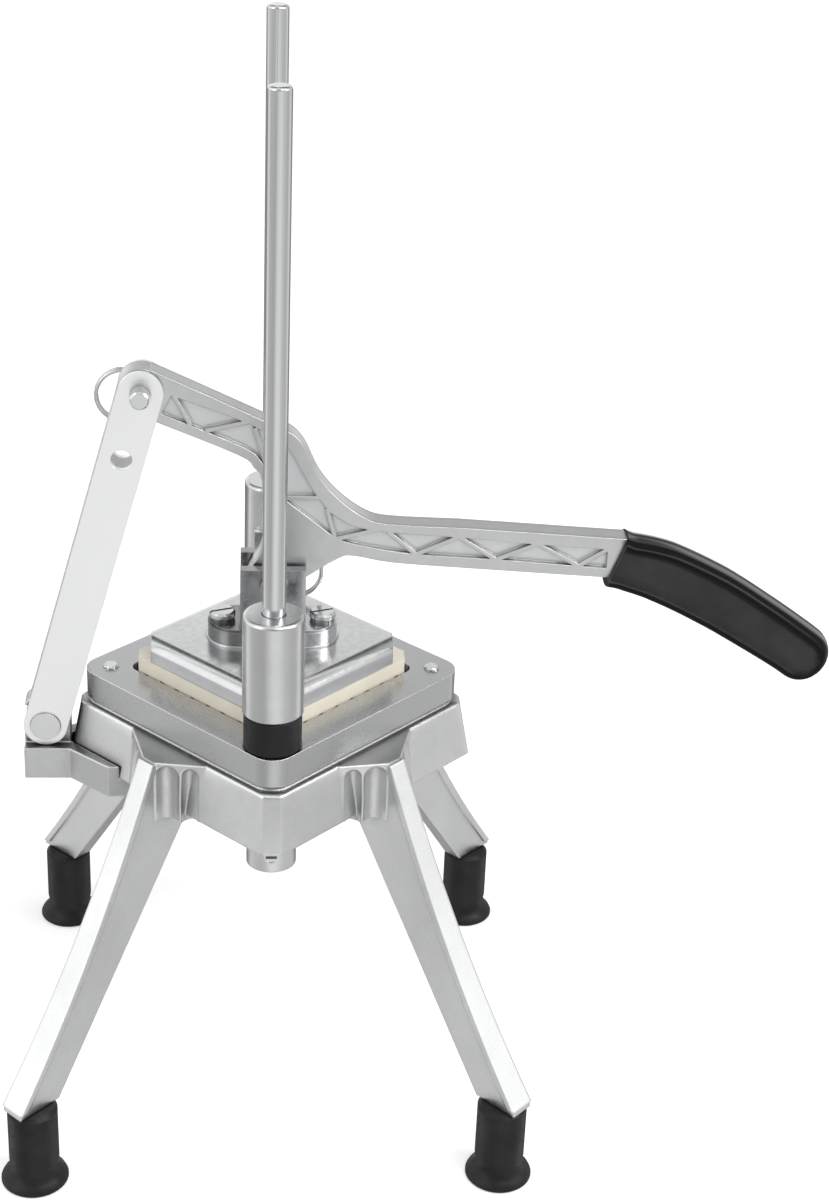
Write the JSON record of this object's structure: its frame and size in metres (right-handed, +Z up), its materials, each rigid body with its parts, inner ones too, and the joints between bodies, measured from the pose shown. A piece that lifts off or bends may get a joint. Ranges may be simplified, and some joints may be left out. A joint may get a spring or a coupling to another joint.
{
  "type": "french fry cutter",
  "caption": "Hand lever potato cutter on a four-legged cast base: the linked lever drives a pusher head down guide rods through a square grid of blades.",
  "frame": {"origin": "on the worktop, at the centre of the four feet", "axes": "+Z up along the guide rods, +X towards the grip, -X towards the link, the rods stand at -Y (front) and +Y (back)"},
  "size_m": [0.362, 0.2312, 0.4719],
  "materials": {
    "cast_aluminium": "satin, lightly grained casting",
    "plate_aluminium": "ground",
    "head_aluminium": "polished casting",
    "lever_aluminium": "satin flanges, grained web",
    "link_aluminium": "fine satin",
    "rod_steel": "polished, drawn",
    "blade_steel": "ground",
    "fork_steel": "polished",
    "steel": "bright",
    "dark_steel": "dull",
    "bronze": "machined",
    "black_rubber": "matte",
    "black_grip": "smooth",
    "ivory_plastic": "moulded"
  },
  "bodies": {
    "root": {"base_casting": "cast_aluminium", "rubber_feet": "black_rubber", "foot_screws": "steel", "guide_rod_front": "rod_steel", "guide_rod_back": "rod_steel", "rod_set_screws": "dark_steel", "rod_bumpers": "black_rubber", "blade_plate": "plate_aluminium", "upper_blades": "blade_steel", "lower_blades": "blade_steel", "plate_studs": "steel", "thumb_nuts": "steel", "link_bracket": "cast_aluminium", "bracket_screws": "steel"},
    "head": {"head_casting": "head_aluminium", "sleeve_bushings": "bronze", "lever_fork": "fork_steel", "fork_screws": "steel", "fork_washers": "dark_steel", "fork_pin": "steel", "fork_ring": "steel", "pusher": "ivory_plastic", "pusher_screws": "steel"},
    "lever": {"lever_casting": "lever_aluminium", "grip": "black_grip"},
    "link": {"link_bar_front": "link_aluminium", "link_bar_back": "link_aluminium", "link_lower_pin": "steel", "link_upper_pin": "steel", "link_ring": "steel"}
  },
  "joints": [
    {"name": "head_lift", "type": "slide", "parent": "root", "child": "head", "axis": [0, 0, 1], "range_m": [0, 0.0964]},
    {"name": "lever_swing", "type": "hinge", "parent": "head", "child": "lever", "pos_m": [0, 0, 0.243], "axis": [0, -1, 0], "range_deg": [0, 60]},
    {"name": "link_swing", "type": "hinge", "parent": "lever", "child": "link", "pos_m": [-0.0551, 0, 0.3286], "axis": [0, -1, 0], "range_deg": [-43.4, 0]}
  ],
  "couplings": [
    {"joint": "lever_swing", "follows": "head_lift", "rad_per_m": 10.852},
    {"joint": "link_swing", "follows": "head_lift", "rad_per_m": -7.839}
  ]
}
